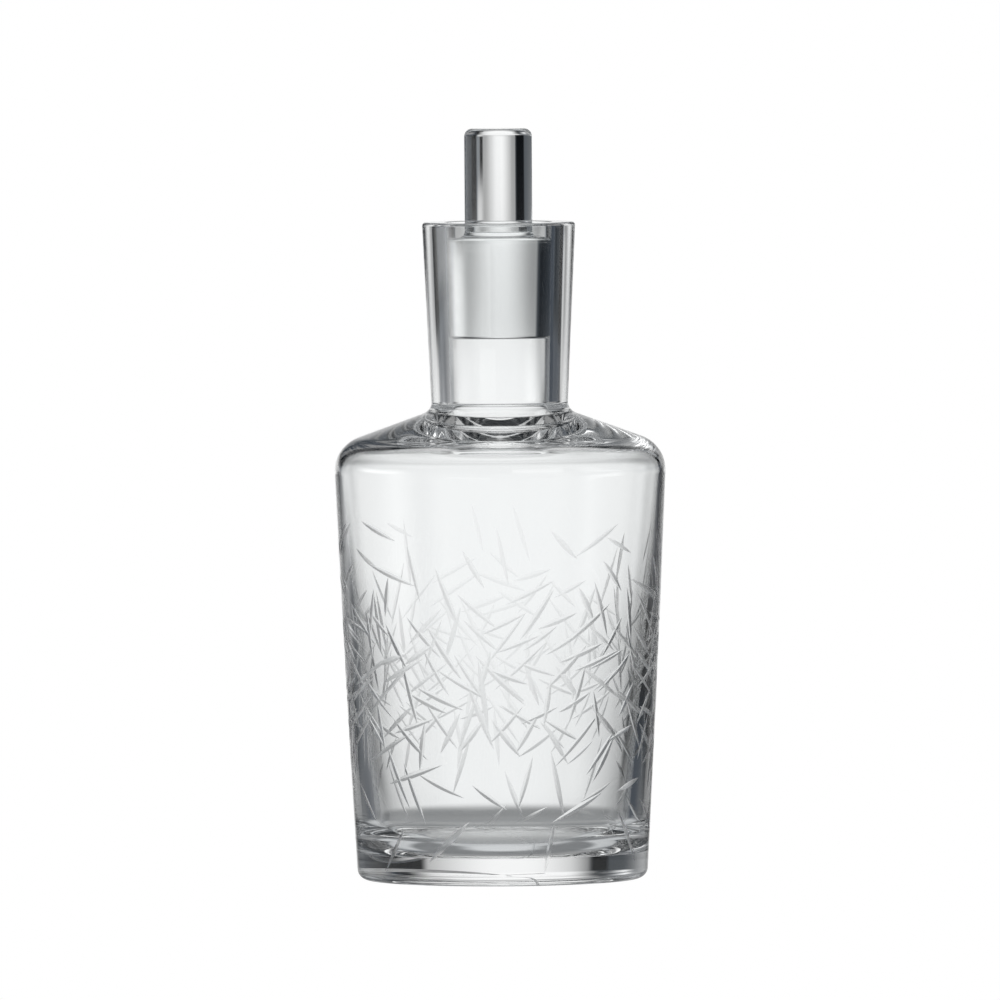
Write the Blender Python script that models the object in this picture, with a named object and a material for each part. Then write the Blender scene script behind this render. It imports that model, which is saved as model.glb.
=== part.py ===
"""A clear glass whiskey decanter with a solid glass stopper.

The bottle is one turned glass shell: a heavy foot, a body that widens upwards, a sloping
shoulder and a thick neck that flares to the rim. The stopper is one solid turned piece. Its
tapered shaft seats in the taper of the bore, and its knob stands above the rim.

Run it with blender --background --python part.py, or from Blender's text editor. Lengths are
in metres and +Z is up. The origin is the centre of the ring that the bottle stands on.
"""

import math

import bmesh
import bpy
from mathutils import Vector

# Outside of the bottle
BASE_RADIUS = 0.0475
SHOULDER_RADIUS = 0.0547
BODY_HEIGHT = 0.1422
WALL_SWELL = 0.0002
SHOULDER_RISE = 0.0117
NECK_HEIGHT = 0.0617
FOOT_ROUND = 0.0037
SHOULDER_ROUND = 0.0117
NECK_ROOT_ROUND = 0.0040
RIM_ROUND = 0.0012
MOUTH_ROUND = 0.0008

# Ring that the bottle stands on, and the shallow hollow inside it
CONTACT_RING_WIDTH = 0.011
KICK_DEPTH = 0.0031

# Thickness of the glass
BASE_THICKNESS = 0.00875
FOOT_WALL = 0.00675
SHOULDER_WALL = 0.0018
NECK_ROOT_WALL = 0.0060
RIM_WALL = 0.00765

# Hollow of the bottle
FLOOR_ROUND = 0.0136
INNER_SHOULDER_ROUND = 0.0088
BORE_END_DEPTH = 0.00495
BORE_END_ROUND = 0.00535

# Tapered joint that the bore and the stopper's shaft share; the taper is the radius lost per depth
BORE_MOUTH_RADIUS = 0.0175
BORE_TAPER = 0.0195
JOINT_CLEARANCE = 0.0003

# Stopper
STOPPER_RECESS = 0.0047
SHAFT_LENGTH = 0.0332
SHAFT_EDGE_ROUND = 0.0010
KNOB_RADIUS = 0.0111
KNOB_HEIGHT = 0.0353
KNOB_TOP_ROUND = 0.0026
KNOB_ROOT_ROUND = 0.0020

# Facets of the turned surfaces
FACETS_AROUND = 64
ARC_STEP = math.radians(18)
WALL_STEPS = 6
KICK_STEPS = 3
MERGE_DISTANCE = 0.000001
SHARP_ANGLE = math.radians(35)

# Places that follow from the sizes
NECK_ROOT_HEIGHT = BODY_HEIGHT + SHOULDER_RISE
RIM_HEIGHT = NECK_ROOT_HEIGHT + NECK_HEIGHT
BORE_END_HEIGHT = NECK_ROOT_HEIGHT - BORE_END_DEPTH
LEDGE_HEIGHT = RIM_HEIGHT - STOPPER_RECESS


def clear_scene():
    """Remove every object of the open scene."""
    for thing in list(bpy.data.objects):
        bpy.data.objects.remove(thing, do_unlink=True)


def bore_radius(height):
    """Radius of the tapered bore at a height above the ground."""
    return BORE_MOUTH_RADIUS - BORE_TAPER * (RIM_HEIGHT - height)


def corner(radius, height, rounding=0.0):
    """A corner of a turned profile: its place, and the radius of the arc that rounds it."""
    return Vector((radius, height)), rounding


def arc_at(before, point, after, radius):
    """Points of the arc that rounds one corner, limited to half of the shorter side."""
    back = before - point
    ahead = after - point
    half_angle = back.angle(ahead) / 2
    reach = min(radius / math.tan(half_angle), back.length / 2, ahead.length / 2)
    start = point + back.normalized() * reach
    middle = point + (back.normalized() + ahead.normalized()).normalized() * reach / math.cos(half_angle)
    turn = math.pi - 2 * half_angle
    side = math.copysign(1.0, back.cross(ahead))
    steps = max(2, math.ceil(turn / ARC_STEP))
    spoke = start - middle
    arc = []
    for step in range(steps + 1):
        angle = -side * turn * step / steps
        swung = Vector((spoke.x * math.cos(angle) - spoke.y * math.sin(angle),
                        spoke.x * math.sin(angle) + spoke.y * math.cos(angle)))
        arc.append(middle + swung)
    return arc


def rounded(corners):
    """Turn a list of corners into profile points, with an arc wherever a corner has a rounding."""
    points = []
    for index, (point, rounding) in enumerate(corners):
        if rounding:
            points += arc_at(corners[index - 1][0], point, corners[index + 1][0], rounding)
        else:
            points.append(point)
    return points


def swelled(start, end, swell):
    """Corners between two points, pushed out to the right of the way by a shallow parabola."""
    way = end - start
    outward = Vector((way.y, -way.x)).normalized()
    corners = []
    for step in range(1, WALL_STEPS):
        share = step / WALL_STEPS
        push = 4 * share * (1 - share) * swell
        corners.append((start + way * share + outward * push, 0.0))
    return corners


def kick_corners():
    """The shallow dish under the base, from the axis out to the ring that the bottle stands on."""
    kick_radius = BASE_RADIUS - FOOT_ROUND - CONTACT_RING_WIDTH
    corners = []
    for step in range(KICK_STEPS + 1):
        share = step / KICK_STEPS
        corners.append(corner(kick_radius * share, KICK_DEPTH * (1 - share ** 2)))
    return corners


def bottle_profile():
    """Profile of the bottle, up its outside from under the base and down its inside to the floor."""
    foot = corner(BASE_RADIUS, 0.0, FOOT_ROUND)
    shoulder = corner(SHOULDER_RADIUS, BODY_HEIGHT, SHOULDER_ROUND)
    neck_root = corner(bore_radius(NECK_ROOT_HEIGHT) + NECK_ROOT_WALL, NECK_ROOT_HEIGHT, NECK_ROOT_ROUND)
    rim = corner(BORE_MOUTH_RADIUS + RIM_WALL, RIM_HEIGHT, RIM_ROUND)
    mouth = corner(BORE_MOUTH_RADIUS, RIM_HEIGHT, MOUTH_ROUND)
    bore_end = corner(bore_radius(BORE_END_HEIGHT), BORE_END_HEIGHT, BORE_END_ROUND)

    shoulder_slope = SHOULDER_RISE / (SHOULDER_RADIUS - neck_root[0].x)
    wall_drop = SHOULDER_WALL * math.hypot(1.0, shoulder_slope) - SHOULDER_WALL * shoulder_slope
    inner_shoulder = corner(SHOULDER_RADIUS - SHOULDER_WALL, BODY_HEIGHT - wall_drop, INNER_SHOULDER_ROUND)
    inner_foot = corner(BASE_RADIUS - FOOT_WALL, BASE_THICKNESS, FLOOR_ROUND)

    corners = kick_corners() + [foot]
    corners += swelled(foot[0], shoulder[0], WALL_SWELL)
    corners += [shoulder, neck_root, rim, mouth, bore_end, inner_shoulder]
    corners += swelled(inner_shoulder[0], inner_foot[0], -WALL_SWELL)
    corners += [inner_foot, corner(0.0, BASE_THICKNESS)]
    return rounded(corners)


def stopper_profile():
    """Profile of the stopper, with its origin on the ledge where the knob meets the shaft."""
    shaft_top = bore_radius(LEDGE_HEIGHT) - JOINT_CLEARANCE
    shaft_end = bore_radius(LEDGE_HEIGHT - SHAFT_LENGTH) - JOINT_CLEARANCE
    return rounded([
        corner(0.0, -SHAFT_LENGTH),
        corner(shaft_end, -SHAFT_LENGTH, SHAFT_EDGE_ROUND),
        corner(shaft_top, 0.0, SHAFT_EDGE_ROUND),
        corner(KNOB_RADIUS, 0.0, KNOB_ROOT_ROUND),
        corner(KNOB_RADIUS, KNOB_HEIGHT, KNOB_TOP_ROUND),
        corner(0.0, KNOB_HEIGHT),
    ])


def glass(name, colour):
    """Clear polished lead glass, a little cool in its thick parts."""
    material = bpy.data.materials.new(name)
    material.use_nodes = True
    surface = material.node_tree.nodes["Principled BSDF"]
    surface.inputs["Base Color"].default_value = (*colour, 1.0)
    surface.inputs["Metallic"].default_value = 0.0
    surface.inputs["Roughness"].default_value = 0.02
    surface.inputs["IOR"].default_value = 1.52
    surface.inputs["Transmission Weight"].default_value = 1.0
    return material


def turned(name, profile, material):
    """Spin a profile of (radius, height) points round the Z axis into one closed solid."""
    shape = bmesh.new()
    rings = [shape.verts.new((point.x, 0.0, point.y)) for point in profile]
    for lower, upper in zip(rings, rings[1:]):
        shape.edges.new((lower, upper))
    bmesh.ops.spin(
        shape,
        geom=shape.verts[:] + shape.edges[:],
        cent=(0.0, 0.0, 0.0),
        axis=(0.0, 0.0, 1.0),
        angle=math.tau,
        steps=FACETS_AROUND,
        use_merge=True,
    )
    bmesh.ops.remove_doubles(shape, verts=shape.verts[:], dist=MERGE_DISTANCE)
    bmesh.ops.recalc_face_normals(shape, faces=shape.faces[:])

    mesh = bpy.data.meshes.new(name)
    shape.to_mesh(mesh)
    shape.free()
    mesh.shade_smooth()
    mesh.set_sharp_from_angle(angle=SHARP_ANGLE)
    mesh.materials.append(material)
    solid = bpy.data.objects.new(name, mesh)
    bpy.context.scene.collection.objects.link(solid)
    return solid


def make_bottle():
    """The blown bottle, standing at the origin."""
    return turned("bottle", bottle_profile(), glass("bottle glass", (0.93, 0.95, 0.97)))


def make_stopper():
    """The solid stopper, under an empty on the axis that it is lifted along."""
    axis = bpy.data.objects.new("stopper_axis", None)
    axis.location = (0.0, 0.0, LEDGE_HEIGHT)
    bpy.context.scene.collection.objects.link(axis)
    stopper = turned("stopper", stopper_profile(), glass("stopper glass", (0.92, 0.94, 0.96)))
    stopper.parent = axis
    return stopper


def main():
    """Build the decanter in the open scene."""
    clear_scene()
    make_bottle()
    make_stopper()


main()
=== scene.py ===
"""Looks of a clear glass whiskey decanter: polished turned glass with needle cuts, in a white studio.

The bottle and its stopper are turned surfaces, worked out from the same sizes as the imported
solids. The needle cuts are real V grooves, ground into the outside of the bottle's wall.
Lengths are in metres, +Z is up, and the photograph looks along +Y.
"""

from __future__ import annotations

import logging
import math
from dataclasses import dataclass, field
from enum import Enum
from typing import Any

import bmesh
import bpy
import numpy as np
from mathutils import Matrix, Vector

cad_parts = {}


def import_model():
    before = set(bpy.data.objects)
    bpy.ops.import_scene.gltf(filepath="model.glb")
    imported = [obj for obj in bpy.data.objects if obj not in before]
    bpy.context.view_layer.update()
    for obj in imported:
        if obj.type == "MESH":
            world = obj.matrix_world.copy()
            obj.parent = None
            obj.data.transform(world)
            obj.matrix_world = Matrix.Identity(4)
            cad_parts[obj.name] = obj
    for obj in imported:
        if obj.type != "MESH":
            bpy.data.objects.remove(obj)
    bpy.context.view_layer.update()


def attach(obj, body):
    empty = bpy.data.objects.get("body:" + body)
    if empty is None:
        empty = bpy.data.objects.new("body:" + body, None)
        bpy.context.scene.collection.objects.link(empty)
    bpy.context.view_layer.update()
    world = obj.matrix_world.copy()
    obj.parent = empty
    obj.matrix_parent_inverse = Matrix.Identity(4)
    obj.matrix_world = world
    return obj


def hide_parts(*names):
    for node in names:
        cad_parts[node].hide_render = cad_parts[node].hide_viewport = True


LOG = logging.getLogger("decanter")
MM = 0.001
NEAR_ZERO = 0.001 * MM
DEGREE = math.pi / 180
FACETS_AROUND = 256
ARC_STEP = 4 * DEGREE
LEAST_ARC_STEPS = 3
RUN_STEP = 8 * MM
CREASE_ANGLE = 12 * DEGREE
GLASS_BOUNCES = 32


class Making(Enum):
    """How a face of the glass was made. The value is its material's name."""

    FIRE_POLISHED = "fire_polished_crystal"
    CUT_AND_POLISHED = "cut_and_polished_crystal"
    WHEEL_GROUND = "wheel_ground_crystal"


def linear(hex_colour: str) -> tuple[float, float, float, float]:
    """Turn an sRGB hex colour into the linear colour that a shader socket takes.

    Args:
        hex_colour: six hex digits, red, green and blue.

    Returns:
        Linear red, green, blue and an alpha of 1.
    """
    srgb = np.array([int(hex_colour[i : i + 2], 16) / 255 for i in (0, 2, 4)])
    low, high = srgb / 12.92, ((srgb + 0.055) / 1.055) ** 2.4
    return (*np.where(srgb <= 0.04045, low, high).tolist(), 1.0)


def add_node(
    tree: bpy.types.NodeTree,
    kind: str,
    settings: dict[str, Any] | None = None,
    links: dict[str | int, Any] | None = None,
) -> bpy.types.Node:
    """Add one node with its settings, and fill its inputs with values or links.

    Args:
        tree: the node tree that gets the node.
        kind: the node's type name.
        settings: properties of the node itself.
        links: input name or number to a value, or to the output socket that feeds it.

    Returns:
        The new node.
    """
    node = tree.nodes.new(kind)
    for name, value in (settings or {}).items():
        setattr(node, name, value)
    for key, value in (links or {}).items():
        if isinstance(value, bpy.types.NodeSocket):
            tree.links.new(value, node.inputs[key])
        else:
            node.inputs[key].default_value = value
    return node


@dataclass(frozen=True)
class Corner:
    """A corner of a turned profile: its place, the radius of the arc that rounds it, and how far
    the run from it to the next corner swells to the right of the way."""

    radius: float
    height: float
    rounding: float = 0.0
    swell: float = 0.0

    @property
    def place(self) -> np.ndarray:
        """The corner as an array of radius and height."""
        return np.array([self.radius, self.height])


def rounded_arc(before: np.ndarray, corner: Corner, after: np.ndarray) -> np.ndarray:
    """Points of the arc that rounds a corner.

    The arc touches both sides. Its centre lies on the corner's bisector, and its points turn
    about that centre from the first touching point by equal angles.

    Args:
        before: the profile's point before the corner.
        corner: the corner.
        after: the profile's point after it.

    Returns:
        Rows of radius and height.
    """
    back, ahead = before - corner.place, after - corner.place
    back_length, ahead_length = np.linalg.norm(back), np.linalg.norm(ahead)
    back, ahead = back / back_length, ahead / ahead_length
    half_angle = math.acos(np.clip(back @ ahead, -1, 1)) / 2
    reach = min(corner.rounding / math.tan(half_angle), back_length / 2, ahead_length / 2)
    bisector = (back + ahead) / np.linalg.norm(back + ahead)
    middle = corner.place + bisector * reach / math.cos(half_angle)
    spoke = corner.place + back * reach - middle
    turn = math.pi - 2 * half_angle
    side = math.copysign(1.0, back[0] * ahead[1] - back[1] * ahead[0])
    steps = max(LEAST_ARC_STEPS, math.ceil(turn / ARC_STEP))
    angles = -side * np.linspace(0, turn, steps + 1)
    cosine, sine = np.cos(angles), np.sin(angles)
    across = spoke[0] * cosine - spoke[1] * sine
    up = spoke[0] * sine + spoke[1] * cosine
    return middle + np.stack([across, up], axis=1)


def run_between(start: np.ndarray, end: np.ndarray, swell: float) -> np.ndarray:
    """Points between two points of a profile, along a shallow parabola.

    The push at a share s of the way is 4 s (1 - s) times the swell, square to the way.

    Args:
        start: radius and height where the run starts.
        end: radius and height where it ends.
        swell: the largest push, to the right of the way.

    Returns:
        Rows of radius and height, without the two ends.
    """
    way = end - start
    length = max(np.linalg.norm(way), NEAR_ZERO)
    outward = np.array([way[1], -way[0]]) / length
    share = np.linspace(0, 1, math.ceil(length / RUN_STEP) + 1)[1:-1, None]
    return start + way * share + outward * 4 * share * (1 - share) * swell


class TurnedProfile:
    """A profile of radius and height, with the direction that its surface faces at each point.

    The profile is followed with the glass on its left, so its surface faces to the right.
    """

    def __init__(self, corners: list[Corner]) -> None:
        """Round the corners and work out the normals.

        A point's normal is the sum of the normals of the stretches before and after it, each
        times its length, made one long. On the axis it is straight up or straight down.

        Args:
            corners: the profile's corners, from the axis to the axis.
        """
        turns = [corners[0].place[None]]
        for before, corner, after in zip(corners, corners[1:], corners[2:]):
            if corner.rounding > 0:
                turns.append(rounded_arc(before.place, corner, after.place))
            else:
                turns.append(corner.place[None])
        turns.append(corners[-1].place[None])
        points = [turns[0]]
        for corner, turn, following in zip(corners, turns, turns[1:]):
            points += [run_between(turn[-1], following[0], corner.swell), following]
        self.points = np.concatenate(points)
        along = np.diff(self.points, axis=0)
        square = np.stack([along[:, 1], -along[:, 0]], axis=1)
        spread = np.concatenate([square[:1], square[:-1] + square[1:], square[-1:]])
        self.normals = spread / np.linalg.norm(spread, axis=1)[:, None]
        self.normals[[0, -1]] = np.array([0.0, 1.0]) * np.sign(self.normals[[0, -1], 1])[:, None]

    def facing(self, places: np.ndarray) -> np.ndarray:
        """Normals of the turned surface at places on it.

        Each place takes the nearest stretch of the profile and a share of the normals at that
        stretch's ends, and turns the result to its own side of the axis.

        Args:
            places: rows of x, y and z.

        Returns:
            Rows of unit normals.
        """
        radius = np.hypot(places[:, 0], places[:, 1])
        flat = np.stack([radius, places[:, 2]], axis=1)
        start, way = self.points[:-1], np.diff(self.points, axis=0)
        offset = flat[:, None] - start
        share = np.clip((offset * way).sum(2) / (way * way).sum(1), 0, 1)
        distance = ((offset - share[..., None] * way) ** 2).sum(2)
        nearest = distance.argmin(1)
        part = share[np.arange(len(flat)), nearest][:, None]
        mixed = self.normals[nearest] * (1 - part) + self.normals[nearest + 1] * part
        outward = places[:, :2] / np.maximum(radius, NEAR_ZERO)[:, None]
        normals = np.concatenate([outward * mixed[:, :1], mixed[:, 1:]], axis=1)
        return normals / np.linalg.norm(normals, axis=1)[:, None]

    def mesh(self, name: str) -> bpy.types.Mesh:
        """The closed turned surface.

        Ring i, facet j lies at radius r_i and angle 2 pi j / n. A profile that starts and ends
        on the axis has one pole vertex at each end.

        Args:
            name: the mesh's name.

        Returns:
            The new mesh, with faces outwards.
        """
        rings = self.points[1:-1]
        angle = np.arange(FACETS_AROUND) * math.tau / FACETS_AROUND
        ring_x = rings[:, :1] * np.cos(angle)
        ring_y = rings[:, :1] * np.sin(angle)
        ring_z = np.broadcast_to(rings[:, 1:], ring_x.shape)
        body = np.stack([ring_x, ring_y, ring_z], axis=2).reshape(-1, 3)
        poles = np.array([[0, 0, self.points[0, 1]], [0, 0, self.points[-1, 1]]])
        count = len(rings)
        here = np.arange(FACETS_AROUND)
        there = (here + 1) % FACETS_AROUND
        row = np.arange(count - 1)[:, None] * FACETS_AROUND
        above = row + FACETS_AROUND
        quads = np.stack([row + here, row + there, above + there, above + here], axis=2)
        last = (count - 1) * FACETS_AROUND
        first_pole, last_pole = len(body), len(body) + 1
        first_fan = np.stack([there, here, np.full_like(here, first_pole)], axis=1)
        last_fan = np.stack([last + here, last + there, np.full_like(here, last_pole)], axis=1)
        mesh = bpy.data.meshes.new(name)
        faces = quads.reshape(-1, 4).tolist() + first_fan.tolist() + last_fan.tolist()
        mesh.from_pydata(np.concatenate([body, poles]).tolist(), [], faces)
        face_out(mesh)
        return mesh


def face_out(mesh: bpy.types.Mesh) -> None:
    """Turn the faces of a closed mesh outwards.

    Args:
        mesh: the mesh, which is changed in place.
    """
    shape = bmesh.new()
    shape.from_mesh(mesh)
    bmesh.ops.recalc_face_normals(shape, faces=shape.faces[:])
    shape.to_mesh(mesh)
    shape.free()


def coordinates(mesh: bpy.types.Mesh) -> np.ndarray:
    """Read where a mesh's vertices are.

    Args:
        mesh: the mesh.

    Returns:
        Rows of x, y and z.
    """
    places = np.empty(len(mesh.vertices) * 3, np.float32)
    mesh.vertices.foreach_get("co", places)
    return places.reshape(-1, 3).astype(float)


def show(name: str, mesh: bpy.types.Mesh) -> bpy.types.Object:
    """Put a mesh in the scene as an object at the origin.

    Args:
        name: the object's name.
        mesh: its mesh.

    Returns:
        The new object.
    """
    thing = bpy.data.objects.new(name, mesh)
    bpy.context.scene.collection.objects.link(thing)
    return thing


@dataclass(frozen=True)
class CrystalGlass:
    """Lead-free crystal: water clear, with a crisp dark edge from its high index.

    A slow ripple, as hand-turned moulds and fire polishing leave it, makes the reflections and
    the lines seen through the walls waver a little. Ground faces are matt and have a fine tooth
    as well, which is drawn coarser than the wheel's grit leaves it, so that it shows.
    """

    making: Making
    colour: str = "FEFFFF"
    index: float = 1.52
    ripple_length: float = 22 * MM
    ripple_height: float = 0.012 * MM
    polished_roughness: float = 0.0
    ground_roughness: float = 0.30
    tooth_length: float = 0.5 * MM
    tooth_height: float = 0.01 * MM

    def material(self) -> bpy.types.Material:
        """Build the glass.

        Returns:
            The new material.
        """
        ground = self.making is Making.WHEEL_GROUND
        roughness = self.ground_roughness if ground else self.polished_roughness
        material = bpy.data.materials.new(self.making.value)
        material.use_nodes = True
        tree = material.node_tree
        surface = tree.nodes["Principled BSDF"]
        surface.inputs["Base Color"].default_value = linear(self.colour)
        surface.inputs["Roughness"].default_value = roughness
        surface.inputs["IOR"].default_value = self.index
        surface.inputs["Transmission Weight"].default_value = 1.0
        place = add_node(tree, "ShaderNodeTexCoord")
        ripple = add_node(tree, "ShaderNodeTexNoise", None, {
            "Vector": place.outputs["Object"], "Scale": 1 / self.ripple_length, "Detail": 0.0,
        })
        relief = add_node(tree, "ShaderNodeBump", None, {
            "Height": ripple.outputs["Fac"], "Strength": 1.0, "Distance": self.ripple_height,
        })
        if ground:
            tooth = add_node(tree, "ShaderNodeTexNoise", None, {
                "Vector": place.outputs["Object"], "Scale": 1 / self.tooth_length, "Detail": 1.0,
            })
            relief = add_node(tree, "ShaderNodeBump", None, {
                "Height": tooth.outputs["Fac"], "Strength": 1.0, "Distance": self.tooth_height,
                "Normal": relief.outputs["Normal"],
            })
        tree.links.new(relief.outputs["Normal"], surface.inputs["Normal"])
        return material


@dataclass(frozen=True)
class NeedleCuts:
    """V grooves ground into the wall by a wheel: pointed at both ends, widest in the middle.

    The groove's depth at a share s of its half length is the full depth times 1 - s squared,
    as a round wheel leaves it, and its width keeps the same ratio to its depth all along. A row
    of cuts is a share of the body's height and how many cuts stand round the body there.
    """

    seed: int = 11
    row_shares: tuple[tuple[float, int], ...] = (
        (0.78, 12), (0.70, 17), (0.63, 34), (0.57, 46), (0.51, 52), (0.45, 54),
        (0.39, 50), (0.33, 38), (0.26, 20), (0.18, 11), (0.10, 10),
    )
    height_jitter: float = 5.0 * MM
    turn_jitter: float = 0.4
    length: tuple[float, float] = (13 * MM, 24 * MM)
    width: tuple[float, float] = (1.3 * MM, 2.1 * MM)
    depth_per_width: float = 0.115
    tilt: tuple[float, float] = (14 * DEGREE, 86 * DEGREE)
    lowest: float = 4 * MM
    highest: float = 119 * MM
    overrun: float = 0.1 * MM
    bar_reach: float = 1.12
    stations: int = 15
    places: int = 9
    room: float = 3.8 * MM

    def layout(self, body_height: float) -> np.ndarray:
        """Place the cuts at random, in loose rows that crowd round the middle of the body.

        Args:
            body_height: height of the body, which the rows are shares of.

        Returns:
            Rows of turn, height, tilt, length and width.
        """
        draw = np.random.default_rng(self.seed)
        rows = []
        for share, count in self.row_shares:
            jitter = draw.uniform(-1, 1, count) * self.turn_jitter
            turn = (np.arange(count) + jitter + draw.uniform()) / count
            height = share * body_height + draw.uniform(-1, 1, count) * self.height_jitter
            tilt = draw.uniform(*self.tilt, count) * draw.choice([-1, 1], count)
            length = draw.uniform(*self.length, count)
            width = draw.uniform(*self.width, count)
            reach = length / 2 * np.abs(np.sin(tilt))
            height = np.clip(height, self.lowest + reach, self.highest - reach)
            rows.append(np.stack([turn * math.tau, height, tilt, length, width], axis=1))
        return np.concatenate(rows)

    def rounds(self, cuts: np.ndarray, radius: float) -> list[np.ndarray]:
        """Sort the cuts into rounds of grinding, so that no two of one round meet.

        Each cut is a row of places along its line on the unrolled wall. Two cuts meet if any two
        of their places are nearer than the room, and each cut joins the first round that it
        meets nothing in.

        Args:
            cuts: rows of turn, height, tilt, length and width.
            radius: the wall's radius.

        Returns:
            The rounds, each as row numbers.
        """
        turn, height, tilt, length, _ = cuts.T[:, :, None]
        station = np.linspace(-0.5, 0.5, self.places) * length
        across = turn * radius + station * np.cos(tilt)
        up = height + station * np.sin(tilt)
        apart = across[:, None, :, None] - across[None, :, None, :]
        girth = math.tau * radius
        apart -= np.round(apart / girth) * girth
        nearest = np.hypot(apart, up[:, None, :, None] - up[None, :, None, :]).min((2, 3))
        rounds: list[list[int]] = []
        for index, distances in enumerate(nearest):
            for members in rounds:
                if distances[members].min() > self.room:
                    members.append(index)
                    break
            else:
                rounds.append([index])
        return [np.array(members) for members in rounds]

    def cutter(
        self, cut: np.ndarray, wall: TurnedProfile, wall_top: float
    ) -> tuple[np.ndarray, list[list[int]]]:
        """The solid that a wheel takes away along one cut: a three-sided bar that follows the wall.

        A point s along the cut and t across it lies on the wall at the height z + s sin(tilt)
        + t cos(tilt), and at the turn that (s cos(tilt) - t sin(tilt)) / radius adds. The bar's
        flat side stands the overrun out of the wall, and its ends run on past the cut's.

        Args:
            cut: turn, height, tilt, length and width.
            wall: the bottle's profile.
            wall_top: the height up to which the profile's outside is read.

        Returns:
            The bar's points, and its faces.
        """
        turn, height, tilt, length, width = cut
        depth = width * self.depth_per_width
        along = np.linspace(-1, 1, self.stations) * self.bar_reach
        floor = -depth * (1 - along ** 2)
        spread = (self.overrun - floor) / (2 * self.depth_per_width)
        station = along * length / 2
        s = np.stack([station, station, station], axis=1)
        t = np.stack([np.zeros_like(station), spread, -spread], axis=1)
        proud = np.full_like(floor, self.overrun)
        lift = np.stack([floor, proud, proud], axis=1)
        z = height + s * math.sin(tilt) + t * math.cos(tilt)
        outside = wall.points[: np.argmax(wall.points[:, 1] > wall_top)]
        radius = np.interp(z, outside[:, 1], outside[:, 0]) + lift
        angle = turn + (s * math.cos(tilt) - t * math.sin(tilt)) / radius
        points = np.stack([radius * np.cos(angle), radius * np.sin(angle), z], axis=2).reshape(-1, 3)
        faces = [[0, 1, 2], [3 * self.stations - 1, 3 * self.stations - 2, 3 * self.stations - 3]]
        for step in range(0, 3 * (self.stations - 1), 3):
            for side in range(3):
                other = (side + 1) % 3
                faces.append([step + side, step + side + 3, step + other + 3, step + other])
        return points, faces


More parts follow.
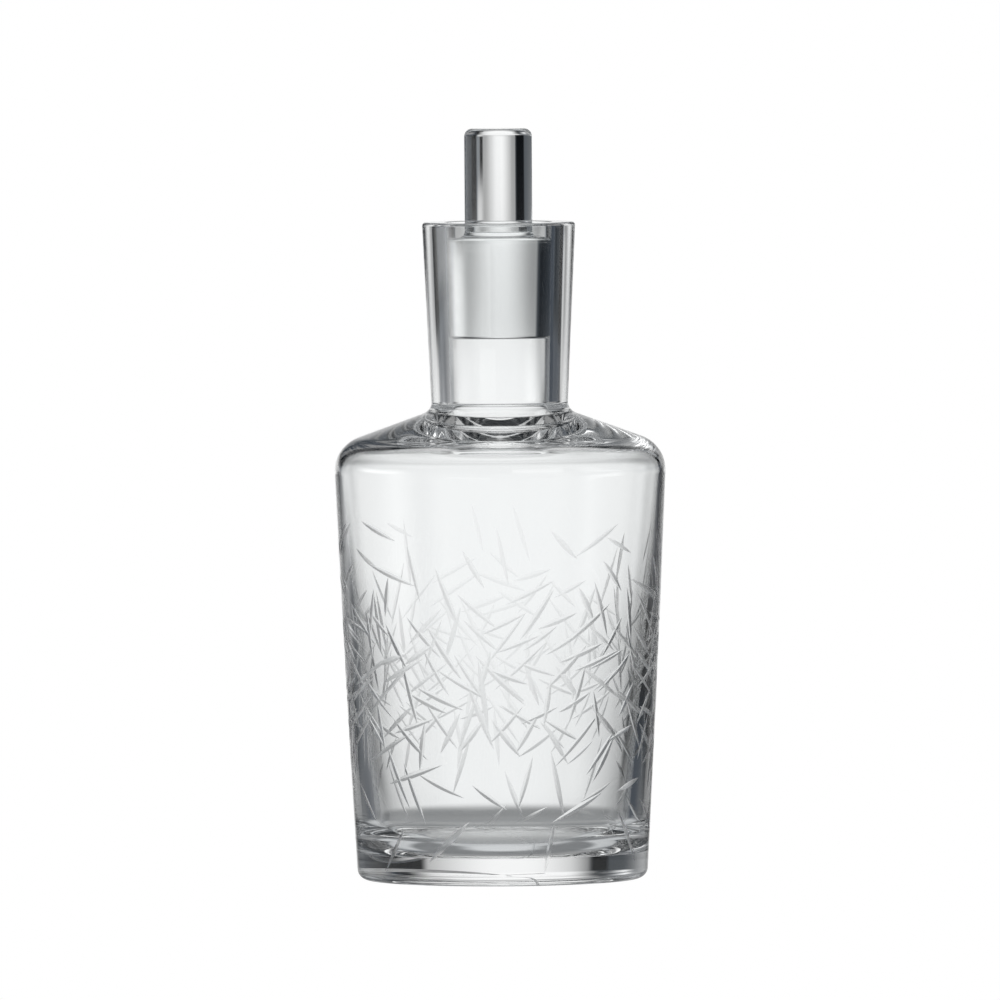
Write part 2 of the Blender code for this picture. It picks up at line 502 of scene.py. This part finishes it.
@dataclass(frozen=True)
class Bottle:
    """The bottle: one turned shell with a heavy foot, a rising body and a thick flared neck."""

    base_radius: float = 47.5 * MM
    shoulder_radius: float = 54.7 * MM
    body_height: float = 142.2 * MM
    wall_swell: float = 0.2 * MM
    shoulder_rise: float = 11.7 * MM
    neck_height: float = 61.7 * MM
    foot_round: float = 3.7 * MM
    shoulder_round: float = 11.7 * MM
    neck_root_round: float = 4.0 * MM
    rim_round: float = 1.2 * MM
    mouth_round: float = 0.8 * MM
    ring_width: float = 11.0 * MM
    kick_depth: float = 3.1 * MM
    kick_rings: int = 9
    base_thickness: float = 8.75 * MM
    foot_wall: float = 6.75 * MM
    shoulder_wall: float = 1.8 * MM
    neck_root_wall: float = 6.0 * MM
    rim_wall: float = 7.65 * MM
    floor_round: float = 13.6 * MM
    inner_shoulder_round: float = 8.8 * MM
    bore_end_depth: float = 4.95 * MM
    bore_end_round: float = 5.35 * MM
    mouth_radius: float = 17.5 * MM
    bore_taper: float = 0.0195
    cuts: NeedleCuts = field(default_factory=NeedleCuts)

    @property
    def root_height(self) -> float:
        """Height where the shoulder meets the neck."""
        return self.body_height + self.shoulder_rise

    @property
    def rim_height(self) -> float:
        """Height of the rim."""
        return self.root_height + self.neck_height

    def bore_radius(self, height: float) -> float:
        """Radius of the tapered bore at a height."""
        return self.mouth_radius - self.bore_taper * (self.rim_height - height)

    def profile(self) -> TurnedProfile:
        """The bottle's profile, up its outside from under the base and down its inside.

        Returns:
            The turned profile.
        """
        foot = Corner(self.base_radius, 0.0, self.foot_round, self.wall_swell)
        shoulder = Corner(self.shoulder_radius, self.body_height, self.shoulder_round)
        root_radius = self.bore_radius(self.root_height) + self.neck_root_wall
        neck_root = Corner(root_radius, self.root_height, self.neck_root_round)
        rim = Corner(self.mouth_radius + self.rim_wall, self.rim_height, self.rim_round)
        mouth = Corner(self.mouth_radius, self.rim_height, self.mouth_round)
        bore_end_height = self.root_height - self.bore_end_depth
        bore_end = Corner(self.bore_radius(bore_end_height), bore_end_height, self.bore_end_round)
        slope = self.shoulder_rise / (self.shoulder_radius - root_radius)
        drop = self.shoulder_wall * (math.hypot(1, slope) - slope)
        inner_shoulder = Corner(
            self.shoulder_radius - self.shoulder_wall,
            self.body_height - drop,
            self.inner_shoulder_round,
            -self.wall_swell,
        )
        inner_foot = Corner(self.base_radius - self.foot_wall, self.base_thickness, self.floor_round)
        corners = [*self.kick(), foot, shoulder, neck_root, rim, mouth, bore_end]
        corners += [inner_shoulder, inner_foot, Corner(0.0, self.base_thickness)]
        return TurnedProfile(corners)

    def kick(self) -> list[Corner]:
        """The shallow dish under the base: its height falls with the square of the radius.

        Returns:
            The dish's corners, from the axis out to the ring that the bottle stands on.
        """
        edge = self.base_radius - self.foot_round - self.ring_width
        share = np.linspace(0, 1, self.kick_rings)
        return [Corner(edge * s, self.kick_depth * (1 - s * s)) for s in share.tolist()]

    def build(self, polished: CrystalGlass, ground: CrystalGlass) -> bpy.types.Object:
        """Turn the bottle, grind the cuts into it and give it smooth normals.

        Args:
            polished: the finish of the turned faces.
            ground: the finish of the cuts.

        Returns:
            The bottle.
        """
        profile = self.profile()
        mesh = profile.mesh("bottle_crystal")
        mesh.materials.append(polished.material())
        bottle = show("bottle_crystal", mesh)
        self.grind(bottle, profile, ground)
        self.smooth(bottle.data, profile)
        return bottle

    def grind(self, bottle: bpy.types.Object, profile: TurnedProfile, ground: CrystalGlass) -> None:
        """Take the cuts' bars away from the bottle, whose cut faces take the bars' finish.

        Args:
            bottle: the turned bottle.
            profile: its profile.
            ground: the finish of the cuts.
        """
        finish = ground.material()
        cuts = self.cuts.layout(self.body_height)
        for members in self.cuts.rounds(cuts, self.shoulder_radius):
            points: list[np.ndarray] = []
            faces: list[list[int]] = []
            for cut in cuts[members]:
                bar, sides = self.cuts.cutter(cut, profile, self.body_height - self.shoulder_round)
                start = len(points) * len(bar)
                faces += [[start + corner for corner in side] for side in sides]
                points.append(bar)
            mesh = bpy.data.meshes.new("wheel_bars")
            mesh.from_pydata(np.concatenate(points).tolist(), [], faces)
            face_out(mesh)
            mesh.materials.append(finish)
            bars = show("wheel_bars", mesh)
            cutting = bottle.modifiers.new("needle_cuts", "BOOLEAN")
            cutting.object = bars
            cutting.operation = "DIFFERENCE"
            cutting.solver = "MANIFOLD"
            cutting.material_mode = "TRANSFER"
            ground_down = bottle.evaluated_get(bpy.context.evaluated_depsgraph_get())
            finished = bpy.data.meshes.new_from_object(ground_down)
            bottle.modifiers.clear()
            bottle.data = finished
            bpy.data.objects.remove(bars)

    def smooth(self, mesh: bpy.types.Mesh, profile: TurnedProfile) -> None:
        """Give the turned surface its true normals, and the grooves soft ones with sharp edges.

        Material slot 0 tells the turned faces from the cut ones, which have the slot after it.

        Args:
            mesh: the cut bottle.
            profile: its profile.
        """
        mesh.shade_smooth()
        mesh.set_sharp_from_angle(angle=CREASE_ANGLE)
        normals = np.empty(len(mesh.loops) * 3, np.float32)
        mesh.corner_normals.foreach_get("vector", normals)
        normals = normals.reshape(-1, 3)
        corner_vertex = np.empty(len(mesh.loops), np.int32)
        mesh.loops.foreach_get("vertex_index", corner_vertex)
        slot = np.empty(len(mesh.polygons), np.int32)
        mesh.polygons.foreach_get("material_index", slot)
        size = np.empty(len(mesh.polygons), np.int32)
        mesh.polygons.foreach_get("loop_total", size)
        turned = np.repeat(slot, size) == 0
        true = profile.facing(coordinates(mesh))
        normals[turned] = true[corner_vertex[turned]]
        mesh.normals_split_custom_set(normals.tolist())


@dataclass(frozen=True)
class Stopper:
    """The solid stopper: a plain round knob on a tapered shaft that seats in the bore.

    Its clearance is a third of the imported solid's, so that the ground joint looks closed.
    """

    recess: float = 4.7 * MM
    shaft_length: float = 33.2 * MM
    edge_round: float = 1.0 * MM
    knob_radius: float = 11.1 * MM
    knob_height: float = 35.3 * MM
    knob_top_round: float = 2.6 * MM
    knob_root_round: float = 2.0 * MM
    clearance: float = 0.1 * MM

    def profile(self, bottle: Bottle) -> TurnedProfile:
        """The stopper's profile, from its lower end up to the top of the knob.

        Args:
            bottle: the bottle whose bore it fits.

        Returns:
            The turned profile.
        """
        ledge = bottle.rim_height - self.recess
        end = ledge - self.shaft_length
        top = ledge + self.knob_height
        low = Corner(bottle.bore_radius(end) - self.clearance, end, self.edge_round)
        high = Corner(bottle.bore_radius(ledge) - self.clearance, ledge, self.edge_round)
        root = Corner(self.knob_radius, ledge, self.knob_root_round)
        crown = Corner(self.knob_radius, top, self.knob_top_round)
        corners = [Corner(0.0, end), low, high, root, crown, Corner(0.0, top)]
        return TurnedProfile(corners)

    def build(self, bottle: Bottle, glass: CrystalGlass) -> bpy.types.Object:
        """Turn the stopper.

        Args:
            bottle: the bottle that it sits in.
            glass: the finish.

        Returns:
            The stopper.
        """
        profile = self.profile(bottle)
        mesh = profile.mesh("stopper_crystal")
        mesh.shade_smooth()
        normals = profile.facing(coordinates(mesh))
        mesh.normals_split_custom_set_from_vertices(normals.tolist())
        mesh.materials.append(glass.material())
        return show("stopper_crystal", mesh)


@dataclass(frozen=True)
class Panel:
    """A lit or dark panel of the tent, between two bearings and two elevations.

    Bearing 0 is straight behind the decanter as the photograph sees it, and a positive bearing
    is to the right. Angles are in degrees, as seen from the middle of the tent. An edge fades
    over its softness to either side of its line. A strength over 1 glows brighter than white.
    """

    name: str
    left: float
    right: float
    low: float
    high: float
    colour: str
    strength: float = 1.0
    side_softness: float = 1.0
    end_softness: float = 1.0

    def mask(
        self, tree: bpy.types.NodeTree, bearing: bpy.types.NodeSocket, elevation: bpy.types.NodeSocket
    ) -> bpy.types.NodeSocket:
        """How much of the panel shows in a direction: 1 inside it, easing to 0 past its edges.

        Args:
            tree: the tent's node tree.
            bearing: socket with the bearing in degrees.
            elevation: socket with the elevation in degrees.

        Returns:
            Socket with the share.
        """
        middle, half_width = (self.left + self.right) / 2, (self.right - self.left) / 2
        height, half_height = (self.low + self.high) / 2, (self.high - self.low) / 2
        shifted = add_node(tree, "ShaderNodeMath", {"operation": "SUBTRACT"}, {0: bearing, 1: middle})
        wrapped = add_node(tree, "ShaderNodeMath", {"operation": "WRAP"}, {
            0: shifted.outputs[0], 1: 180.0, 2: -180.0,
        })
        aside = add_node(tree, "ShaderNodeMath", {"operation": "ABSOLUTE"}, {0: wrapped.outputs[0]})
        raised = add_node(tree, "ShaderNodeMath", {"operation": "SUBTRACT"}, {0: elevation, 1: height})
        above = add_node(tree, "ShaderNodeMath", {"operation": "ABSOLUTE"}, {0: raised.outputs[0]})
        smooth = {"interpolation_type": "SMOOTHSTEP"}
        sides = add_node(tree, "ShaderNodeMapRange", smooth, {
            "Value": aside.outputs[0],
            "From Min": half_width + self.side_softness,
            "From Max": half_width - self.side_softness,
        })
        ends = add_node(tree, "ShaderNodeMapRange", smooth, {
            "Value": above.outputs[0],
            "From Min": half_height + self.end_softness,
            "From Max": half_height - self.end_softness,
        })
        whole = add_node(tree, "ShaderNodeMath", {"operation": "MULTIPLY"}, {
            0: ends.outputs[0], 1: sides.outputs[0],
        })
        return whole.outputs[0]


@dataclass(frozen=True)
class LightTent:
    """The studio that the glass sees: a round tent of lit and dark panels, under 500 mm out.

    A lit sheet behind the decanter shows through it, dark flags beside and under the sheet give
    the walls and the foot their dark lines, soft boxes and reflectors at the sides give the
    upright highlights, and a dark ceiling under a white top gives the shoulder and the knob
    their crisp bands. A later panel hangs in front of the earlier ones.
    """

    radius: float = 450 * MM
    middle: float = 100 * MM
    facets_around: int = 96
    facets_up: int = 48
    cloth: str = "454B53"
    panels: tuple[Panel, ...] = (
        Panel("far wall", -128, 58, 10, 20, "6E747B", 1.0, 5, 1.5),
        Panel("ceiling", -181, 181, 18, 62, "14171A", 1.0, 1, 2),
        Panel("top soft box", -181, 181, 64, 104, "FFFFFF", 1.0, 1, 4),
        Panel("far high soft box", -36, 36, 44, 70, "FFFFFF", 0.6, 4, 3),
        Panel("left high soft box", -110, -50, 43, 49, "FFFFFF", 0.3, 6, 1),
        Panel("right high soft box", 50, 110, 43, 49, "FFFFFF", 0.3, 6, 1),
        Panel("table", -181, 181, -104, -37, "7C7E80", 1.0, 12, 12),
        Panel("table rim", 28, 332, -47, -24, "C4C6C8", 1.0, 8, 4),
        Panel("low sides", 60, 300, -26, -18, "6C6E70", 1.0, 8, 2),
        Panel("low sheet", -40, 40, -28, -18, "6C6E70", 1.0, 8, 2),
        Panel("table near side", 100, 260, -104, -20, "BCBEC0", 1.0, 12, 6),
        Panel("near sheet", 128, 232, -30, 13, "B0B2B4", 1.0, 8, 4),
        Panel("table middle", -181, 181, -104, -75, "D0D2D4", 1.0, 1, 6),
        Panel("sheet foot", -18.5, 23.5, -42, -27, "ACACAC", 1.0, 1, 16),
        Panel("sheet edges", -27.5, 26, -20, 20.5, "A4A4A4", 1.0, 1, 5),
        Panel("sheet", -16.5, 13, -18, 10.5, "FAFAFA", 1.0, 12.5, 3.5),
        Panel("sheet top", -10.5, 8.5, 8.5, 30, "FFFFFF", 1.0, 8.5, 10),
        Panel("sheet middle", -26, 17.5, -7.5, 9.5, "FFFFFF", 1.0, 15.5, 2.5),
        Panel("left flag", -33.5, -22.5, -17, 5, "303336", 1.0, 6.5),
        Panel("left reflector", -48, -37.5, -6.5, 0, "FFFFFF", 1.7, 7, 13.5),
        Panel("right flag", 23.5, 33, -17, 9, "020202", 1.0, 6, 6),
        Panel("right reflector", 38, 107, -9, 4.5, "949494", 1.0, 6, 2),
        Panel("left low flag", -68, -24, -15, -8.5, "44484C", 1.0, 1.5, 2),
        Panel("left low line", -31, -23.5, -15, -9.5, "040404", 1.0, 1.5, 2),
        Panel("right low flag", 20, 95, -16, -9.5, "0A0B0C", 1.0, 1.5, 2),
        Panel("right card", 19, 27, 7.5, 15, "D0D0D0", 1.0, 3, 1.5),
        Panel("right high flag", 33, 58, 9.5, 29.5, "34383C", 1.0, 3),
        Panel("right high card", 23, 33, 15.5, 32, "7C8084"),
        Panel("right high line", 18.5, 23, 15.5, 32, "040404"),
        Panel("right wall line", 28.5, 40, 9.5, 32, "040404", 1.0, 1.5),
        Panel("left high flag", -64, -21, 10.5, 22, "585C60"),
        Panel("left wall line", -38, -22, 10, 24, "040404", 1.0, 2, 1.5),
        Panel("left window", -89.5, -54.5, -19, 9.5, "CACACA", 1.0, 16, 15.5),
        Panel("left soft box", -115, -94, -18, 15, "FFFFFF", 1.2, 16),
        Panel("left strip", -106, -73, 7.5, 13.5, "FFFFFF", 2.2, 9),
        Panel("right near window", 137, 172, 13, 21.5, "FFFFFF", 1.0, 0.5, 2),
    )

    def pitch(self) -> bpy.types.Object:
        """Put the tent up round the decanter, where only rays that the glass turns see it.

        The tent is a sphere: the point at longitude a and latitude b lies at the radius times
        (cos b sin a, cos b cos a, sin b).

        Returns:
            The tent.
        """
        around, up = self.facets_around, self.facets_up
        longitude = np.arange(around) * math.tau / around
        latitude = np.linspace(-math.pi / 2, math.pi / 2, up + 1)[1:-1, None]
        x = self.radius * np.cos(latitude) * np.sin(longitude)
        y = self.radius * np.cos(latitude) * np.cos(longitude)
        z = self.middle + self.radius * np.sin(latitude) + np.zeros_like(x)
        rings = np.stack([x, y, z], axis=2).reshape(-1, 3)
        poles = np.array([[0, 0, self.middle - self.radius], [0, 0, self.middle + self.radius]])
        here = np.arange(around)
        there = (here + 1) % around
        row = np.arange(up - 2)[:, None] * around
        quads = np.stack([row + here, row + here + around, row + there + around, row + there], axis=2)
        top = (up - 2) * around
        lowest, highest = len(rings), len(rings) + 1
        faces = quads.reshape(-1, 4).tolist()
        faces += np.stack([here, there, np.full_like(here, lowest)], axis=1).tolist()
        faces += np.stack([top + there, top + here, np.full_like(here, highest)], axis=1).tolist()
        mesh = bpy.data.meshes.new("light_tent")
        mesh.from_pydata(np.concatenate([rings, poles]).tolist(), [], faces)
        mesh.materials.append(self.cloth_material())
        tent = show("light_tent", mesh)
        tent.visible_camera = False
        return tent

    def cloth_material(self) -> bpy.types.Material:
        """The tent's glow: the panels over dim cool cloth.

        A place's bearing is the arctangent of x over y, and its elevation is the arcsine of its
        height above the middle over the radius. Inputs 6 and 7 and output 2 of a Mix node are
        its colours.

        Returns:
            The new material.
        """
        material = bpy.data.materials.new("tent_cloth")
        material.use_nodes = True
        material.cycles.emission_sampling = "NONE"
        tree = material.node_tree
        tree.nodes.clear()
        place = add_node(tree, "ShaderNodeTexCoord")
        axes = add_node(tree, "ShaderNodeSeparateXYZ", None, {0: place.outputs["Object"]})
        turn = add_node(tree, "ShaderNodeMath", {"operation": "ARCTAN2"}, {
            0: axes.outputs[0], 1: axes.outputs[1],
        })
        bearing = add_node(tree, "ShaderNodeMath", {"operation": "DEGREES"}, {0: turn.outputs[0]})
        height = add_node(tree, "ShaderNodeMath", {"operation": "SUBTRACT"}, {
            0: axes.outputs[2], 1: self.middle,
        })
        sine = add_node(tree, "ShaderNodeMath", {"operation": "DIVIDE"}, {
            0: height.outputs[0], 1: self.radius,
        })
        rise = add_node(tree, "ShaderNodeMath", {"operation": "ARCSINE"}, {0: sine.outputs[0]})
        elevation = add_node(tree, "ShaderNodeMath", {"operation": "DEGREES"}, {0: rise.outputs[0]})
        colour: Any = linear(self.cloth)
        for panel in self.panels:
            lit = tuple(c * panel.strength for c in linear(panel.colour)[:3])
            mask = panel.mask(tree, bearing.outputs[0], elevation.outputs[0])
            mix = add_node(tree, "ShaderNodeMix", {"data_type": "RGBA", "clamp_result": False}, {
                0: mask, 6: colour, 7: (*lit, 1.0),
            })
            colour = mix.outputs[2]
        glow = add_node(tree, "ShaderNodeEmission", None, {0: colour})
        add_node(tree, "ShaderNodeOutputMaterial", None, {0: glow.outputs[0]})
        return material


@dataclass(frozen=True)
class Backdrop:
    """White surroundings and a plain pale floor, lit like a light table, that the camera sees."""

    colour: str = "FFFFFF"
    reach: float = 3.0
    drop: float = 0.2 * MM

    def world(self) -> None:
        """Light everything outside the tent plain white."""
        world = bpy.data.worlds.new("white_room")
        bpy.context.scene.world = world
        world.use_nodes = True
        tree = world.node_tree
        tree.nodes.clear()
        room = add_node(tree, "ShaderNodeBackground", None, {0: linear(self.colour)})
        add_node(tree, "ShaderNodeOutputWorld", None, {0: room.outputs[0]})

    def floor(self) -> bpy.types.Object:
        """Lay the floor. The camera sees it, and the glass sees the tent in its place.

        Returns:
            The floor.
        """
        mesh = bpy.data.meshes.new("floor")
        sides = [(-1, -1), (1, -1), (1, 1), (-1, 1)]
        corners = [(x * self.reach, y * self.reach, -self.drop) for x, y in sides]
        mesh.from_pydata(corners, [], [(0, 1, 2, 3)])
        material = bpy.data.materials.new("light_table")
        material.use_nodes = True
        material.cycles.emission_sampling = "NONE"
        tree = material.node_tree
        tree.nodes.clear()
        glow = add_node(tree, "ShaderNodeEmission", None, {0: linear(self.colour)})
        add_node(tree, "ShaderNodeOutputMaterial", None, {0: glow.outputs[0]})
        mesh.materials.append(material)
        floor = show("floor", mesh)
        floor.visible_glossy = False
        floor.visible_transmission = False
        floor.visible_diffuse = False
        return floor


@dataclass(frozen=True)
class LongLens:
    """The camera: far away with a long lens, a few degrees above the level of the base."""

    distance: float = 6.0
    height: float = 0.36
    aim_height: float = 0.1243
    aim_side: float = -0.1 * MM
    frame_width: float = 0.328
    sensor_mm: float = 36.0
    roll: float = -0.37 * DEGREE

    def place(self) -> bpy.types.Object:
        """Set the camera up and make it the scene's.

        Returns:
            The camera.
        """
        camera = bpy.data.cameras.new("long_lens")
        camera.sensor_width = self.sensor_mm
        eye = Vector((self.aim_side, -self.distance, self.height))
        way = Vector((self.aim_side, 0, self.aim_height)) - eye
        camera.lens = self.sensor_mm * way.length / self.frame_width
        thing = bpy.data.objects.new("long_lens", camera)
        turn = way.to_track_quat("-Z", "Y").to_matrix().to_4x4()
        thing.matrix_world = Matrix.Translation(eye) @ turn @ Matrix.Rotation(self.roll, 4, "Z")
        bpy.context.scene.collection.objects.link(thing)
        bpy.context.scene.camera = thing
        return thing


def main() -> None:
    """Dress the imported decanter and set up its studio."""
    logging.basicConfig(level=logging.INFO, format="%(message)s")
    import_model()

    bottle = Bottle()
    polished = CrystalGlass(Making.FIRE_POLISHED)
    ground = CrystalGlass(Making.WHEEL_GROUND)
    shell = bottle.build(polished, ground)
    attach(shell, "bottle")
    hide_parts("bottle")
    LOG.info("bottle: %d faces", len(shell.data.polygons))

    plug = Stopper().build(bottle, CrystalGlass(Making.CUT_AND_POLISHED))
    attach(plug, "stopper")
    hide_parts("stopper")
    LOG.info("stopper: %d faces", len(plug.data.polygons))

    LightTent().pitch()
    backdrop = Backdrop()
    backdrop.world()
    backdrop.floor()
    LongLens().place()
    scene = bpy.context.scene
    scene.view_settings.view_transform = "Standard"
    scene.cycles.max_bounces = GLASS_BOUNCES
    scene.cycles.transmission_bounces = GLASS_BOUNCES
    scene.cycles.glossy_bounces = GLASS_BOUNCES


if __name__ == "__main__":
    main()
